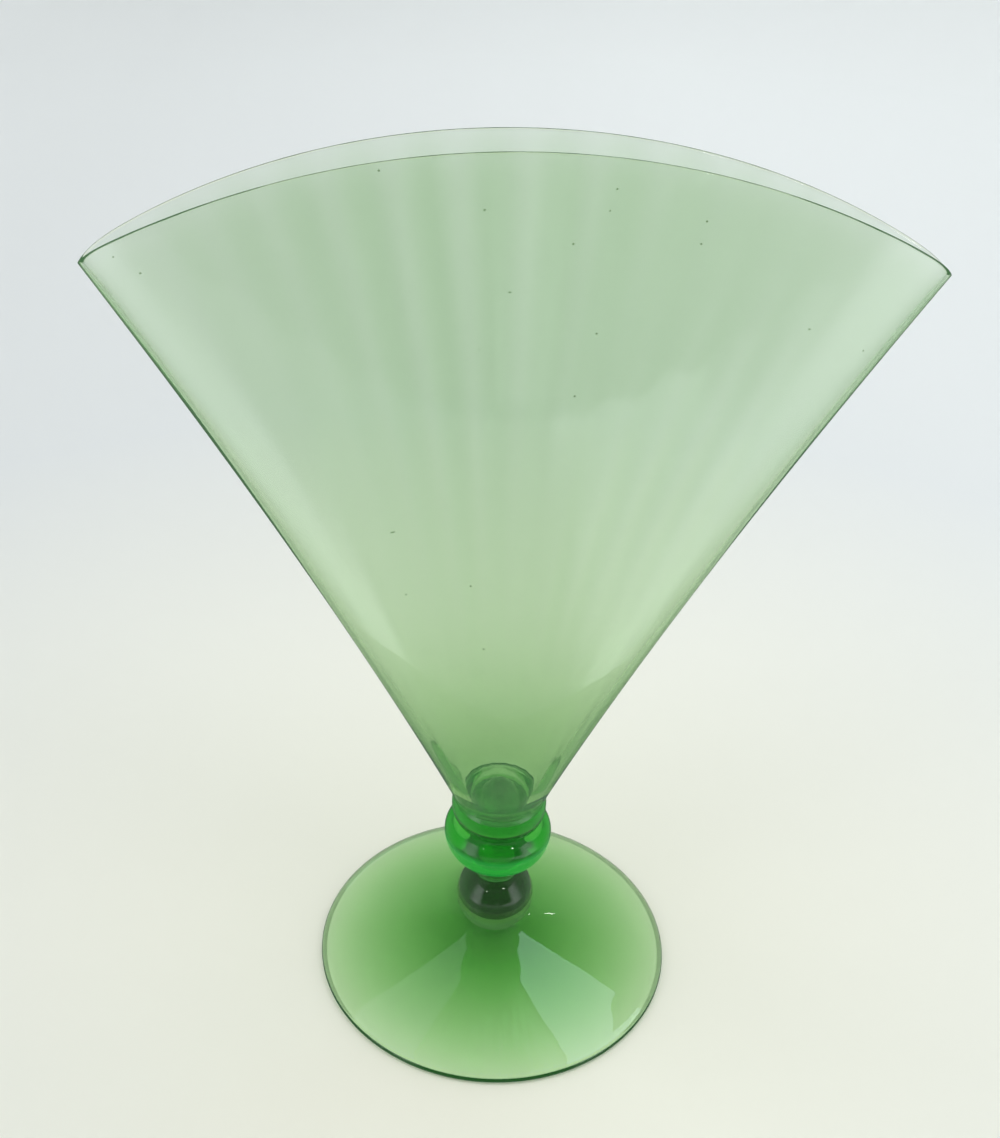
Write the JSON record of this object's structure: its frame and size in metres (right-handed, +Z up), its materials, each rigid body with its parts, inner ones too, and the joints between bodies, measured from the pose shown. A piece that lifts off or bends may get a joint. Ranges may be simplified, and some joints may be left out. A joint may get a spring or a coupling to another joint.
{
  "type": "fan vase",
  "caption": "Footed fan vase of clear green blown glass: a flat flared bowl with an arched mouth on a knopped stem and a round spread foot.",
  "frame": {"origin": "centre of the foot's underside, on the surface that the vase stands on", "axes": "+Z up along the stem, +X along the width of the fan, +Y from its front face to its back face"},
  "size_m": [0.1742, 0.091, 0.2122],
  "materials": {
    "green_glass": "clear, fire polished"
  },
  "bodies": {
    "root": {"foot": "green_glass", "lower_knop": "green_glass", "knop_wafer": "green_glass", "upper_knop": "green_glass", "collar": "green_glass", "bowl": "green_glass"}
  },
  "joints": []
}
